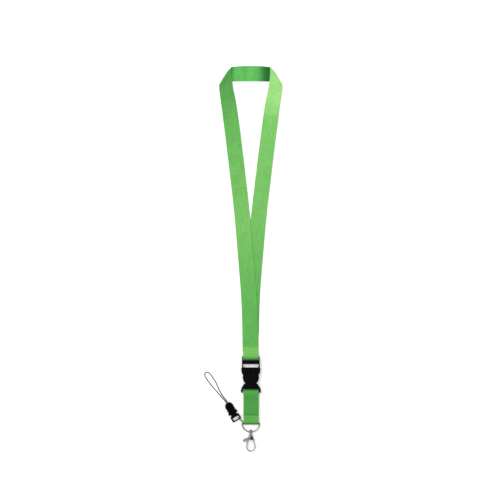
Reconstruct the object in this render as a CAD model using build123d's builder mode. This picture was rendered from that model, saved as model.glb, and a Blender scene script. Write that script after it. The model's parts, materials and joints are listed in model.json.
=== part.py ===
from build123d import *
import os
from math import acos, atan2, cos, degrees, pi, radians, sin, sqrt, tan

# A neck lanyard lying flat: a folded ribbon, a detachable side-release buckle, a short lower strap,
# a D-ring with a swivel lobster hook, and a small side-release buckle with a phone cord loop.
# Frame: +Z up, +Y along the lanyard towards the neck, +X to the right, Z = 0 the surface it lies on.

# ---- driving dimensions (mm) ----
ribbon_width = 20.0
ribbon_thick = 0.8
half_length = 250.0  # the whole lanyard is 500 long

# neck ribbon
neck_low = 229.6  # lower edge of the neck piece
fold_outer_x = 41.7  # the fold's outer corner
fold_outer_y = 226.6
fold_inner_x = 24.0  # where the fold meets the top edge
fold_rounds = [7.0, 3.5]
left_leg = [(-35.2, 252), (-22.4, 154), (-11.5, 62), (-1.4, -60), (0, -122)]
right_leg = [(35.1, 252), (22.0, 154), (10.6, 60), (1.6, -45), (0, -122)]
left_leg_heights = [(252, 1.2), (226, 1.2), (200, 0.4), (92, 0.4), (58, 1.2), (-120.5, 1.2)]
right_leg_heights = [(252, 1.2), (226, 1.2), (200, 0.4), (-100, 0.4)]
flap_top = -113.8
lift_off = -119.5  # where the ribbon leaves the surface to reach the buckle's bar

# main buckle
buckle_mid = 3.5  # height of its middle plane
bar_y = -129.2
bar_r = 1.1
loop_gap = 0.2  # air between a bar and the strap round it
mouth_y = -141.8  # edge of the female half's collar
collar_end = -149.7
waist_y = -161.4
strap_bar_y = -170.6

# lower strap and D-ring
strap_left = -9.6
strap_right = 10.4
lower_flap_top = -202.3
ring_y = -212.9  # the D-ring's straight bar
ring_z = 2.7
ring_wire_r = 0.85
ring_bow_r = 11.5
ring_corner_r = 1.3
ring_bow_y = 0.1  # the bow's centre above the bar

# hook
eye_y = -224.1
eye_r = 2.35
eye_wire_r = 0.7
eye_tilt = 40.0
stem_r = 0.95
hook_z = ring_z
body_thick = 4.6
hook_top = -227.2
pivot_x, pivot_y = -3.5, -233.0
rivet_r = 0.7
lug_thick = 0.7
arm_thick = 3.0

# small buckle, in its own plane: y along its axis from the frame's end to the head's tip
mini_angle = 30.0
mini_x, mini_y = -17.6, -209.3
mini_mid = 2.1
mini_mouth = 10.0
mini_length = 25.6

# cords
tether_d = 0.8
tether_x = -10.1
knot_r = 1.05
cord_d = 1.2

os.makedirs("parts", exist_ok=True)


def fit_radii(points, share=0.45):
    """One radius for each corner of an open route: share of the shorter run over tan(half the turn)."""
    radii = []
    for before, here, after in zip(points, points[1:], points[2:]):
        run_in = Vector(*here) - Vector(*before)
        run_out = Vector(*after) - Vector(*here)
        half_turn = radians(run_in.get_angle(run_out)) / 2
        radii.append(share * min(run_in.length, run_out.length) / tan(half_turn))
    return radii


# ================= neck ribbon =================
def leg_heights(points):
    """Side view of a leg: a strip of ribbon whose middle follows the points (Y, Z)."""
    with BuildSketch(Plane.YZ) as side:
        with BuildLine():
            FilletPolyline(*points, radius=fit_radii([(y, z, 0) for y, z in points]))
        trace(line_width=ribbon_thick)
    return side.sketch


def ribbon_leg(route, heights):
    """A leg of the ribbon: its plan outline met by its side view."""
    with BuildPart() as leg:
        with BuildSketch():
            with BuildLine():
                FilletPolyline(*route, radius=fit_radii([(x, y, 0) for x, y in route]))
            trace(line_width=ribbon_width)
        extrude(amount=4 * ribbon_thick)
        extrude(leg_heights(heights), amount=3 * ribbon_width, both=True, mode=Mode.INTERSECT)
    return leg.part


half = ribbon_thick / 2
loop_r = bar_r + loop_gap + half  # middle of the ribbon round the bar
wrap_start = -98.0
buckle_loop = [
    (wrap_start, half),
    (lift_off, half),
    (bar_y + 2.6, buckle_mid - loop_r),
    (bar_y - loop_r, buckle_mid - loop_r),
    (bar_y - loop_r, buckle_mid + loop_r),
    (bar_y + 1.9, buckle_mid + loop_r),
    (lift_off, 5 * half),
    (flap_top, 5 * half),
]

beyond = 300.0  # past every end of the ribbon

with BuildPart() as neck_ribbon:
    # the neck piece lies under both legs
    with BuildSketch():
        with BuildLine():
            Polyline(
                (-fold_outer_x, neck_low),
                (fold_outer_x, neck_low),
                (fold_outer_x, half_length),
                (-fold_outer_x, half_length),
                close=True,
            )
        make_face()
    extrude(amount=ribbon_thick)
    add(ribbon_leg(left_leg, left_leg_heights))
    add(ribbon_leg(right_leg, right_leg_heights))
    # the slanting folds, with rounded corners
    with BuildSketch():
        for side in (-1, 1):
            with BuildLine():
                FilletPolyline(
                    (side * fold_outer_x, neck_low - ribbon_width),
                    (side * fold_outer_x, fold_outer_y),
                    (side * fold_inner_x, half_length),
                    (0, half_length),
                    radius=fold_rounds,
                )
                Polyline(
                    (0, half_length),
                    (0, beyond),
                    (side * beyond, beyond),
                    (side * beyond, neck_low - ribbon_width),
                    (side * fold_outer_x, neck_low - ribbon_width),
                )
            make_face()
    extrude(amount=4 * ribbon_thick, mode=Mode.SUBTRACT)
    # down to the buckle, round its bar and back up as the sewn flap
    with BuildSketch(Plane.YZ):
        with BuildLine():
            FilletPolyline(*buckle_loop, radius=[14, 12, loop_r - 0.01, loop_r - 0.01, 3, 8])
        trace(line_width=ribbon_thick)
    extrude(amount=ribbon_width / 2, both=True)

neck_ribbon.part.label = "neck_ribbon"
export_step(neck_ribbon.part, "parts/neck_ribbon.step")


def stitch_rows(low_corner, rows, row_step, columns, column_step, size):
    """Short raised threads in rows, each a small rounded bar along X."""
    x, y, z = low_corner
    with BuildPart() as stitches:
        with BuildSketch(Plane.XY.offset(z)):
            for row in range(rows):
                for column in range(columns):
                    with Locations((x + column * column_step, y + row * row_step)):
                        SlotOverall(size[0], size[1])
        extrude(amount=size[2])
    return stitches.part


thread = (1.5, 0.34, 0.22)
flap_face = 6 * half
with BuildPart() as neck_stitching:
    add(stitch_rows((-8.5, -117.9, flap_face), 2, 2.7, 9, 2.125, thread))

neck_stitching.part.label = "neck_stitching"
export_step(neck_stitching.part, "parts/neck_stitching.step")

# ================= main buckle, male half =================
rail_in = 10.2
rail_out = 11.7
frame_thick = 4.4
ear_top = -126.1
crossbar_top = -131.5
crossbar_low = -136.4
rib_size = (3.0, 0.7)
rib_rise = 0.35
plug_half = 9.2
plug_y = -143.4

with BuildPart() as male_buckle_base:
    # side rails, crossbar and flange in one plan outline
    with BuildSketch(Plane.XY.offset(buckle_mid - frame_thick / 2)):
        with BuildLine():
            FilletPolyline(
                (-rail_out + 0.3, ear_top),
                (-rail_in, ear_top),
                (-rail_in, crossbar_top),
                (rail_in, crossbar_top),
                (rail_in, ear_top),
                (rail_out - 0.3, ear_top),
                (rail_out, mouth_y + 0.2),
                (-rail_out, mouth_y + 0.2),
                radius=[0.6, 0.2, 0.5, 0.5, 0.2, 0.6, 0.3, 0.3],
                close=True,
            )
        make_face()
        with BuildLine():
            FilletPolyline(
                (-rail_in, crossbar_low),
                (rail_in, crossbar_low),
                (rail_in, -140.75),
                (-rail_in, -140.75),
                radius=[0.7, 0.7, 2.0, 2.0],
                close=True,
            )
        make_face(mode=Mode.SUBTRACT)
    extrude(amount=frame_thick)
    fillet(male_buckle_base.edges().group_by(Axis.Z)[-1], radius=0.3)
    fillet(male_buckle_base.edges().group_by(Axis.Z)[0], radius=0.3)
    # the bar that the neck ribbon goes round
    with BuildSketch(Plane.YZ):
        with Locations((bar_y, buckle_mid)):
            Circle(bar_r)
    extrude(amount=rail_in + 0.4, both=True)
    # grip ribs on the crossbar
    with BuildSketch(Plane.XY.offset(buckle_mid + frame_thick / 2)):
        with GridLocations(2.5, 1, 8, 1):
            with Locations((0, (crossbar_top + crossbar_low) / 2)):
                SlotOverall(*rib_size, rotation=90)
    extrude(amount=rib_rise)
    # plug that enters the collar, and the middle guide tongue
    with BuildSketch(Plane.XY.offset(buckle_mid - 1.7)):
        with Locations((0, (mouth_y + plug_y) / 2 + 0.2)):
            Rectangle(2 * plug_half, mouth_y - plug_y + 0.4)
    extrude(amount=3.4)
    with BuildSketch(Plane.XY.offset(buckle_mid - 0.9)):
        with Locations((0, -151)):
            RectangleRounded(4.0, 16.0, 1.2)
    extrude(amount=1.8)

male_buckle_base.part.label = "male_buckle_base"
export_step(male_buckle_base.part, "parts/male_buckle_base.step")

# latch arms: they run down inside the collar, then bulge out through the side windows
for side, name in ((-1, "left_latch_arm"), (1, "right_latch_arm")):
    with BuildPart() as latch_arm:
        with BuildSketch(Plane.XY.offset(buckle_mid - 1.7)):
            with BuildLine():
                FilletPolyline(
                    (side * 6.6, plug_y),
                    (side * 9.2, plug_y),
                    (side * 9.2, collar_end - 0.1),
                    (side * 10.3, collar_end - 0.3),
                    (side * 10.65, -154.6),
                    (side * 8.8, -160.2),
                    (side * 6.3, -159.8),
                    (side * 5.9, -148.0),
                    radius=[0.3, 0.3, 0.35, 0.5, 3.5, 0.6, 0.5, 6.0],
                    close=True,
                )
            make_face()
        extrude(amount=3.4)
        chamfer(latch_arm.edges().group_by(Axis.Z)[-1], length=0.2)
        chamfer(latch_arm.edges().group_by(Axis.Z)[0], length=0.2)
    latch_arm.part.label = name
    export_step(latch_arm.part, f"parts/{name}.step")

# ================= main buckle, female half =================
cavity_half = 2.0
ear_in = 10.5
plate_round = 0.9
collar_round = 1.3


def mirrored_outline(right_side):
    """A closed outline from its right side, given from top to bottom, mirrored in X."""
    left_side = [(-x, y) for x, y in reversed(right_side)]
    return right_side + left_side


def softened_slab(right_side, low, high, edge_round):
    """A slab with the given outline between two heights, its upper and lower rims rounded."""
    with BuildPart() as slab:
        with BuildSketch(Plane.XY.offset(low)):
            with BuildLine():
                Polyline(*mirrored_outline(right_side), close=True)
            make_face()
        extrude(amount=high - low)
        fillet(slab.edges().group_by(Axis.Z)[-1], radius=edge_round)
        fillet(slab.edges().group_by(Axis.Z)[0], radius=edge_round)
    return slab.part


with BuildPart() as female_flare:
    # lower body flaring out to the two ears
    with BuildSketch(Plane.XY.offset(buckle_mid - 2.7)):
        with BuildLine():
            Line((-7.2, -159.6), (7.2, -159.6))
            Line((7.2, -159.6), (7.9, waist_y))
            ThreePointArc((7.9, waist_y), (10.9, -165.2), (12.8, -169.8))
            ThreePointArc((12.8, -169.8), (12.7, -172.4), (11.7, -173.7))
            Line((11.7, -173.7), (ear_in, -173.7))
            Line((ear_in, -173.7), (ear_in, -168.35))
            Line((ear_in, -168.35), (-ear_in, -168.35))
            Line((-ear_in, -168.35), (-ear_in, -173.7))
            Line((-ear_in, -173.7), (-11.7, -173.7))
            ThreePointArc((-11.7, -173.7), (-12.7, -172.4), (-12.8, -169.8))
            ThreePointArc((-12.8, -169.8), (-10.9, -165.2), (-7.9, waist_y))
            Line((-7.9, waist_y), (-7.2, -159.6))
        make_face()
    extrude(amount=5.4)
    fillet(female_flare.edges().group_by(Axis.Z)[-1], radius=0.4)
    fillet(female_flare.edges().group_by(Axis.Z)[0], radius=0.4)

with BuildPart() as female_plate:
    # the hourglass front and back plates, as one full-height slab
    with BuildSketch():
        with BuildLine():
            Line((-8.9, mouth_y - 0.5), (8.9, mouth_y - 0.5))
            ThreePointArc((8.9, mouth_y - 0.5), (6.9, -155.5), (9.4, -167.6))
            Line((9.4, -167.6), (-9.4, -167.6))
            ThreePointArc((-9.4, -167.6), (-6.9, -155.5), (-8.9, mouth_y - 0.5))
        make_face()
    extrude(amount=2 * buckle_mid)
    fillet(female_plate.edges().group_by(Axis.Z)[-1], radius=plate_round)
    fillet(female_plate.edges().group_by(Axis.Z)[0], radius=plate_round)

collar_outline = [(12.6, mouth_y), (12.1, -146.8), (11.2, collar_end)]

with BuildPart() as female_buckle:
    add(softened_slab(collar_outline, buckle_mid - 3.1, buckle_mid + 3.1, collar_round))
    add(female_flare.part)
    add(female_plate.part)
    # the cavity for the plug, the tongue and the arms, open at the mouth and at both sides
    with BuildSketch(Plane.XY.offset(buckle_mid - cavity_half)):
        with Locations((0, (mouth_y - 160.8) / 2)):
            Rectangle(2 * 9.55, mouth_y + 160.8)
    extrude(amount=2 * cavity_half, mode=Mode.SUBTRACT)
    # the bar that the lower strap goes round
    with BuildSketch(Plane.YZ):
        with Locations((strap_bar_y, buckle_mid)):
            Circle(bar_r)
    extrude(amount=ear_in + 0.3, both=True)

female_buckle.part.label = "female_buckle"
export_step(female_buckle.part, "parts/female_buckle.step")

# ================= lower strap =================
ring_loop_r = ring_wire_r + 0.25 + half
front_layer = [
    (-208.5, ring_z + half),
    (-176.5, buckle_mid + 0.15 + half),
    (strap_bar_y - 1.6, buckle_mid + loop_r),
    (strap_bar_y + loop_r, buckle_mid + loop_r),
    (strap_bar_y + loop_r, buckle_mid),
]
back_layer = [
    (strap_bar_y + loop_r, buckle_mid),
    (strap_bar_y + loop_r, buckle_mid - loop_r),
    (strap_bar_y - 1.6, buckle_mid - loop_r),
    (-176.5, buckle_mid + 0.15 - half),
    (-205.5, ring_z + 0.05 - half),
    (ring_y + 2.2, ring_z - ring_loop_r),
    (ring_y - ring_loop_r, ring_z - ring_loop_r),
    (ring_y - ring_loop_r, ring_z),
]
flap_layer = [
    (ring_y - ring_loop_r, ring_z),
    (ring_y - ring_loop_r, ring_z + ring_loop_r),
    (ring_y + 1.6, ring_z + ring_loop_r),
    (-206.5, ring_z + 3 * half),
    (lower_flap_top, ring_z + 3 * half + 0.1),
]
layer_radii = [
    (front_layer, [6, 2, loop_r - 0.01]),
    (back_layer, [loop_r - 0.01, 2, 6, 6, 3, ring_loop_r - 0.01]),
    (flap_layer, [ring_loop_r - 0.01, 3, 6]),
]
strap_middle = Plane.YZ.offset((strap_left + strap_right) / 2)

with BuildPart() as lower_strap:
    for layer, radii in layer_radii:
        with BuildSketch(strap_middle):
            with BuildLine():
                FilletPolyline(*layer, radius=radii)
            trace(line_width=ribbon_thick)
        extrude(amount=ribbon_width / 2, both=True)

lower_strap.part.label = "lower_strap"
export_step(lower_strap.part, "parts/lower_strap.step")

with BuildPart() as lower_stitching:
    add(stitch_rows((-8.1, -207.6, ring_z + 5 * half + 0.02), 2, 3.0, 9, 2.125, thread))

lower_stitching.part.label = "lower_strap_stitching"
export_step(lower_stitching.part, "parts/lower_strap_stitching.step")

# ================= D-ring =================
corner_x = sqrt((ring_bow_r - ring_corner_r) ** 2 - (ring_bow_y + ring_corner_r) ** 2)
join_angle = degrees(atan2(-ring_corner_r - ring_bow_y, corner_x))

with BuildPart() as d_ring:
    with BuildLine(Plane((0, ring_y, ring_z))) as ring_path:
        Line((0, 0), (corner_x, 0))
        CenterArc((corner_x, -ring_corner_r), ring_corner_r, 90, join_angle - 90)
        CenterArc((0, ring_bow_y), ring_bow_r, join_angle, -180 - 2 * join_angle)
        CenterArc((-corner_x, -ring_corner_r), ring_corner_r, 180 - join_angle, join_angle - 90)
        Line((-corner_x, 0), (0, 0))
    with BuildSketch(Plane((0, ring_y, ring_z), x_dir=(0, 1, 0), z_dir=(1, 0, 0))):
        Circle(ring_wire_r)
    sweep()

d_ring.part.label = "d_ring"
export_step(d_ring.part, "parts/d_ring.step")

# ================= swivel lobster hook =================
head_y = -230.35
eye_centre = (0, eye_y, hook_z)
eye_normal = (cos(radians(eye_tilt)), 0, sin(radians(eye_tilt)))
eye_section = Plane(eye_centre, x_dir=(0, 1, 0), z_dir=(-sin(radians(eye_tilt)), 0, cos(radians(eye_tilt))))

with BuildPart() as swivel_eye:
    # the eye, a ring threaded by the D-ring's wire
    with BuildSketch(eye_section):
        with Locations((eye_r, 0)):
            Circle(eye_wire_r)
    revolve(axis=Axis(eye_centre, eye_normal))
    # the stem and its peened head
    with BuildSketch(Plane((0, eye_y - eye_r, hook_z), x_dir=(1, 0, 0), z_dir=(0, -1, 0))):
        Circle(stem_r)
    extrude(amount=eye_y - eye_r - head_y)
    with BuildSketch(Plane((0, head_y + 0.95, hook_z), x_dir=(1, 0, 0), z_dir=(0, -1, 0))):
        Circle(1.4)
    extrude(amount=0.95)

swivel_eye.part.label = "swivel_eye"
export_step(swivel_eye.part, "parts/swivel_eye.step")

loop_y = -243.65  # centre of the hook's round loop
loop_bend_r = 5.45  # middle of the arm round the loop
arm_half_width = 0.9
gate_half_width = 1.1
arm_root = (3.4, -233.9)
root_reach = sqrt(arm_root[0] ** 2 + (arm_root[1] - loop_y) ** 2)
tangent_angle = degrees(atan2(arm_root[1] - loop_y, arm_root[0]) - acos(loop_bend_r / root_reach))
tangent_x = loop_bend_r * cos(radians(tangent_angle))
tangent_y = loop_y + loop_bend_r * sin(radians(tangent_angle))
nose_angle = 207.0  # where the gate meets the nose, round the loop
nose_gap = 0.2
past_nose = 4.0  # each arm is swept this far past the nose, then cut
nose_x = loop_bend_r * cos(radians(nose_angle))
nose_y = loop_y + loop_bend_r * sin(radians(nose_angle))
nose_face = Plane((nose_x, nose_y, hook_z), x_dir=(0.95, -0.31, 0), z_dir=(0, 0, 1))

with BuildPart() as hook_arm:
    # the fixed arm: straight down from the block, round the bottom and up to the nose
    with BuildLine(Plane.XY.offset(hook_z)) as arm_path:
        Line(arm_root, (tangent_x, tangent_y))
        CenterArc((0, loop_y), loop_bend_r, tangent_angle, nose_angle - past_nose - tangent_angle - 360)
    with BuildSketch(Plane(arm_path.line @ 0, x_dir=(0, 0, 1), z_dir=arm_path.line % 0)):
        Ellipse(1.5, arm_half_width)
    sweep()
    with BuildSketch(nose_face):
        with Locations((0, 4)):
            Rectangle(8, 8)
    extrude(amount=arm_thick, both=True, mode=Mode.SUBTRACT)

with BuildPart() as hook_block:
    # the block that holds the swivel and the gate
    with BuildSketch(Plane.XY.offset(hook_z - body_thick / 2)):
        with BuildLine():
            FilletPolyline(
                (-2.3, hook_top),
                (2.3, hook_top),
                (2.9, -229.4),
                (4.7, -234.6),
                (1.6, -234.8),
                (-3.2, -234.8),
                (-5.0, -235.0),
                (-4.9, -232.0),
                (-2.9, -229.4),
                radius=[0.6, 0.6, 1.0, 0.5, 1.0, 1.0, 1.2, 1.0, 1.0],
                close=True,
            )
        make_face()
    extrude(amount=body_thick)
    fillet(hook_block.edges().group_by(Axis.Z)[-1], radius=0.5)
    fillet(hook_block.edges().group_by(Axis.Z)[0], radius=0.5)

with BuildPart() as hook_body:
    add(hook_block.part)
    add(hook_arm.part)
    # bore for the swivel's stem, and the pocket for its head
    with BuildSketch(Plane((0, hook_top + 1, hook_z), x_dir=(1, 0, 0), z_dir=(0, -1, 0))):
        Circle(stem_r + 0.06)
    extrude(amount=3.5, mode=Mode.SUBTRACT)
    with BuildSketch(Plane.XY.offset(hook_z - 1.7)):
        with Locations((0, -230.2)):
            Rectangle(3.6, 2.0)
    extrude(amount=3.4, mode=Mode.SUBTRACT)
    # the open window in the front face
    with BuildSketch(Plane.XY.offset(hook_z - 1.7)):
        with BuildLine():
            FilletPolyline((0.5, -229.3), (1.5, -229.3), (3.3, -234.0), (-1.0, -234.0), radius=0.3, close=True)
        make_face()
    extrude(amount=body_thick, mode=Mode.SUBTRACT)
    # the slot that the gate's lug turns in, and the rivet's bore
    with BuildSketch(Plane.XY.offset(hook_z - 0.8)):
        with Locations((-4.0, -233.6)):
            Rectangle(4.6, 5.0)
    extrude(amount=1.6, mode=Mode.SUBTRACT)
    with BuildSketch(Plane.XY.offset(hook_z - body_thick / 2)):
        with Locations((pivot_x, pivot_y)):
            Circle(rivet_r)
    extrude(amount=body_thick, mode=Mode.SUBTRACT)

hook_body.part.label = "hook_body"
export_step(hook_body.part, "parts/hook_body.step")

with BuildPart() as gate_rivet:
    with BuildSketch(Plane.XY.offset(hook_z - body_thick / 2)):
        with Locations((pivot_x, pivot_y)):
            Circle(rivet_r)
    extrude(amount=body_thick)
    for face_z, way in ((hook_z + body_thick / 2, 1), (hook_z - body_thick / 2, -1)):
        with BuildSketch(Plane.XY.offset(face_z)):
            with Locations((pivot_x, pivot_y)):
                Circle(1.0)
        extrude(amount=0.2 * way)

gate_rivet.part.label = "gate_rivet"
export_step(gate_rivet.part, "parts/gate_rivet.step")

lug_low = hook_z - 0.75

with BuildPart() as gate_arm:
    # the gate's arm closes the loop's left side, down to the nose
    with BuildLine(Plane.XY.offset(hook_z)) as gate_path:
        Line((-3.6, pivot_y - 0.6), (-tangent_x, tangent_y))
        CenterArc((0, loop_y), loop_bend_r, 180 - tangent_angle, nose_angle + past_nose + tangent_angle - 180)
    with BuildSketch(Plane(gate_path.line @ 0, x_dir=(0, 0, 1), z_dir=gate_path.line % 0)):
        Ellipse(arm_thick / 2, gate_half_width)
    sweep()
    with BuildSketch(nose_face):
        with Locations((0, nose_gap - 4)):
            Rectangle(8, 8)
    extrude(amount=arm_thick, both=True, mode=Mode.SUBTRACT)

with BuildPart() as gate_tab:
    # the thumb tab, out to the left and curled down at its end
    with BuildSketch(Plane.XY.offset(hook_z - 1.4)):
        with BuildLine():
            FilletPolyline((-5.0, pivot_y), (-9.6, pivot_y - 0.1), (-9.5, -236.9), radius=2.2)
        trace(line_width=1.25)
        with Locations((-9.5, -236.9)):
            Circle(1.25 / 2)
    extrude(amount=2.8)
    fillet(gate_tab.edges().group_by(Axis.Z)[-1], radius=0.4)
    fillet(gate_tab.edges().group_by(Axis.Z)[0], radius=0.4)

with BuildPart() as hook_gate:
    add(gate_arm.part)
    add(gate_tab.part)
    # close to the pivot only a thin lug remains
    with BuildSketch(Plane.XY.offset(hook_z - arm_thick)):
        with Locations((pivot_x, pivot_y)):
            Circle(2.95)
    extrude(amount=2 * arm_thick, mode=Mode.SUBTRACT)
    with BuildSketch(Plane.XY.offset(lug_low)):
        with Locations((pivot_x, pivot_y)):
            Circle(1.5)
        with BuildLine():
            Polyline((-2.6, -233.4), (-4.7, -233.4), (-5.1, -236.6), (-3.0, -236.6), close=True)
        make_face()
        with Locations((-5.4, -233.05)):
            Rectangle(4.0, 1.1)
        # the thin web inside the tab's curl
        with BuildLine():
            Polyline((-9.2, -233.1), (-4.8, -233.1), (-5.2, -236.8), (-9.2, -236.8), close=True)
        make_face()
        with Locations((pivot_x, pivot_y)):
            Circle(rivet_r + 0.06, mode=Mode.SUBTRACT)
    extrude(amount=lug_thick)

hook_gate.part.label = "hook_gate"
export_step(hook_gate.part, "parts/hook_gate.step")

spring_wire_r = 0.1
spring_low = lug_low + lug_thick + spring_wire_r + 0.06
with BuildPart() as gate_spring:
    with BuildLine() as coil:
        Helix(pitch=0.24, height=0.48, radius=1.02, center=(pivot_x, pivot_y, spring_low))
    with BuildSketch(Plane(coil.line @ 0, z_dir=coil.line % 0)):
        Circle(spring_wire_r)
    sweep(is_frenet=True)

gate_spring.part.label = "gate_spring"
export_step(gate_spring.part, "parts/gate_spring.step")

# ================= small buckle, male half =================
along = (-sin(radians(mini_angle)), cos(radians(mini_angle)))
across = (cos(radians(mini_angle)), sin(radians(mini_angle)))


def mini_plane(height):
    """The small buckle's own plane at a height: local y runs along its axis."""
    return Plane((mini_x, mini_y, height), x_dir=(*across, 0), z_dir=(0, 0, 1))


def mini_point(x, y, z):
    """A point of the small buckle's own frame, in the lanyard's frame."""
    return (mini_x + x * across[0] + y * along[0], mini_y + x * across[1] + y * along[1], z)


with BuildPart() as mini_frame:
    with BuildSketch(mini_plane(1.2)):
        with BuildLine():
            FilletPolyline((-6.2, 0), (6.2, 0), (6.1, 7.6), (-6.1, 7.6), radius=0.6, close=True)
        make_face()
        with BuildLine():
            FilletPolyline((-4.2, 1.5), (4.2, 1.5), (4.2, 5.0), (-4.2, 5.0), radius=1.1, close=True)
        make_face(mode=Mode.SUBTRACT)
    extrude(amount=2.2)
    fillet(mini_frame.edges().group_by(Axis.Z)[-1], radius=0.4)
    fillet(mini_frame.edges().group_by(Axis.Z)[0], radius=0.4)

with BuildPart() as mini_male_base:
    add(mini_frame.part)
    # neck that enters the head, and the guide tongue
    with BuildSketch(mini_plane(1.2)):
        with Locations((0, 9.1)):
            Rectangle(8.2, 3.4)
    extrude(amount=1.9)
    with BuildSketch(mini_plane(mini_mid - 0.5)):
        with Locations((0, 13.6)):
            RectangleRounded(2.0, 7.0, 0.6)
    extrude(amount=1.0)

mini_male_base.part.label = "mini_male_base"
export_step(mini_male_base.part, "parts/mini_male_base.step")

mini_neck_end = 10.8
for side, name in ((-1, "mini_left_arm"), (1, "mini_right_arm")):
    with BuildPart() as mini_arm:
        with BuildSketch(mini_plane(mini_mid - 0.85)):
            with BuildLine():
                Polyline(
                    (side * 4.0, 18.2),
                    (side * 3.3, 14.0),
                    (side * 2.5, mini_neck_end),
                    (side * 4.0, mini_neck_end),
                    (side * 4.0, 13.5),
                    (side * 4.7, 13.8),
                )
                ThreePointArc((side * 4.7, 13.8), (side * 5.4, 16.2), (side * 4.6, 18.4))
                Line((side * 4.6, 18.4), (side * 4.0, 18.2))
            make_face()
        extrude(amount=1.7)
        fillet(mini_arm.edges().group_by(Axis.Z)[-1], radius=0.2)
        fillet(mini_arm.edges().group_by(Axis.Z)[0], radius=0.2)
    mini_arm.part.label = name
    export_step(mini_arm.part, f"parts/{name}.step")

# ================= small buckle, female half =================
def mini_slab(right_side, low, high, edge_round):
    """A slab in the small buckle's plane, mirrored about its axis, with rounded rims."""
    with BuildPart() as slab:
        with BuildSketch(mini_plane(low)):
            with BuildLine():
                Polyline(*mirrored_outline(right_side), close=True)
            make_face()
        extrude(amount=high - low)
        fillet(slab.edges().group_by(Axis.Z)[-1], radius=edge_round)
        fillet(slab.edges().group_by(Axis.Z)[0], radius=edge_round)
    return slab.part


window_low, window_top = 13.4, 18.7  # the side windows that the arms fill
head_collar = [(6.4, mini_mouth), (6.15, 12.9), (5.6, window_low)]
head_ridge = [(5.2, mini_mouth + 0.3), (4.9, 15.0), (4.9, 19.0), (3.9, 23.2), (2.6, mini_length - 0.3)]
head_shell = [(5.0, window_top), (5.6, 19.4), (5.3, 21.6), (4.5, 23.6), (3.3, mini_length)]

with BuildPart() as mini_female_head:
    add(mini_slab(head_collar, 0.3, 3.9, 0.5))
    add(mini_slab(head_ridge, 0, 2 * mini_mid, 0.4))
    add(mini_slab(head_shell, 0.25, 3.95, 0.6))
    # cavity for the male half, open at the mouth and through the side windows
    with BuildSketch(mini_plane(mini_mid - 1.1)):
        with Locations((0, (mini_mouth + 19.0) / 2)):
            Rectangle(8.6, 19.0 - mini_mouth)
        with Locations((0, (window_low + window_top) / 2)):
            Rectangle(12.0, window_top - window_low)
    extrude(amount=2.2, mode=Mode.SUBTRACT)
    # room for the cord's knot, and the hole that the cord leaves by
    with BuildSketch(mini_plane(mini_mid - 1.3)):
        with Locations((0, 22.0)):
            RectangleRounded(4.0, 3.0, 0.5)
    extrude(amount=2.6, mode=Mode.SUBTRACT)
    with BuildSketch(mini_plane(mini_mid - 0.7)):
        with Locations((0, 24.6)):
            Rectangle(2.9, 3.0)
    extrude(amount=1.4, mode=Mode.SUBTRACT)

mini_female_head.part.label = "mini_female_head"
export_step(mini_female_head.part, "parts/mini_female_head.step")

# ================= tether =================
tether_r = tether_d / 2
wrap_r = ring_wire_r + 0.2 + tether_r
under_z = tether_r + 0.1
over_z = 3.4 + tether_r + 0.2
knot_at = (tether_x - 0.95, ring_y + 2.2, ring_z + wrap_r + 0.2)
tether_route = [
    knot_at,
    (tether_x, ring_y + 0.8, ring_z + wrap_r),
    (tether_x, ring_y - wrap_r, ring_z + wrap_r),
    (tether_x, ring_y - wrap_r, ring_z - wrap_r),
    (tether_x, ring_y + 1.3, ring_z - wrap_r),
    mini_point(3.1, -1.6, under_z),
    mini_point(2.7, 2.6, under_z),
    mini_point(2.7, 2.6, over_z),
    mini_point(4.7, 0.6, over_z),
    knot_at,
]
tether_radii = [1.0, wrap_r - 0.01, wrap_r - 0.01, 1.6, 1.6, 0.9, 0.9, 0.9]

with BuildPart() as tether_cord:
    with BuildLine() as tether_path:
        FilletPolyline(*tether_route[:-1], (*knot_at[:2], knot_at[2] + 0.02), radius=tether_radii)
    with BuildSketch(Plane(tether_path.line @ 0, z_dir=tether_path.line % 0)):
        Circle(tether_r)
    sweep()

print("tether length:", round(tether_path.wire().length, 2))
tether_cord.part.label = "tether_cord"
export_step(tether_cord.part, "parts/tether_cord.step")

with BuildPart() as tether_knot:
    with Locations(knot_at):
        Sphere(knot_r)

tether_knot.part.label = "tether_knot"
export_step(tether_knot.part, "parts/tether_knot.step")

# ================= phone cord =================
cord_r = cord_d / 2
knot_end = 23.0
cord_gap = 0.66
cord_route = [
    mini_point(-cord_gap, knot_end, mini_mid),
    mini_point(-cord_gap, 27.4, mini_mid - 0.05),
    (-35.4, -182.0, 1.3),
    (-40.9, -176.2, cord_r),
    (-46.6, -169.3, cord_r),
    (-52.0, -163.2, cord_r),
    (-56.4, -157.2, cord_r),
    (-59.1, -152.9, cord_r),
    (-60.1, -149.9, cord_r),
    (-58.9, -147.4, cord_r),
    (-56.2, -146.9, cord_r),
    (-53.4, -148.6, cord_r),
    (-50.2, -152.7, cord_r),
    (-46.9, -157.4, cord_r),
    (-44.1, -163.0, cord_r),
    (-41.7, -169.1, cord_r),
    (-38.3, -175.2, 0.9),
    (-34.4, -180.4, 1.5),
    mini_point(cord_gap, 27.9, mini_mid - 0.05),
    mini_point(cord_gap, knot_end, mini_mid),
]
cord_radii = fit_radii(cord_route)
print("phone cord arc radii:", [round(r, 1) for r in cord_radii])

with BuildPart() as phone_cord:
    with BuildLine() as cord_path:
        FilletPolyline(*cord_route, radius=cord_radii)
    with BuildSketch(Plane(cord_path.line @ 0, z_dir=cord_path.line % 0)):
        Circle(cord_r)
    sweep()

cord_length = cord_path.wire().length
cord_volume = pi * cord_r**2 * cord_length
print("phone cord length:", round(cord_length, 2))
print("phone cord volume over section times length:", round(phone_cord.part.volume / cord_volume, 4))
phone_cord.part.label = "phone_cord"
export_step(phone_cord.part, "parts/phone_cord.step")

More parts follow.
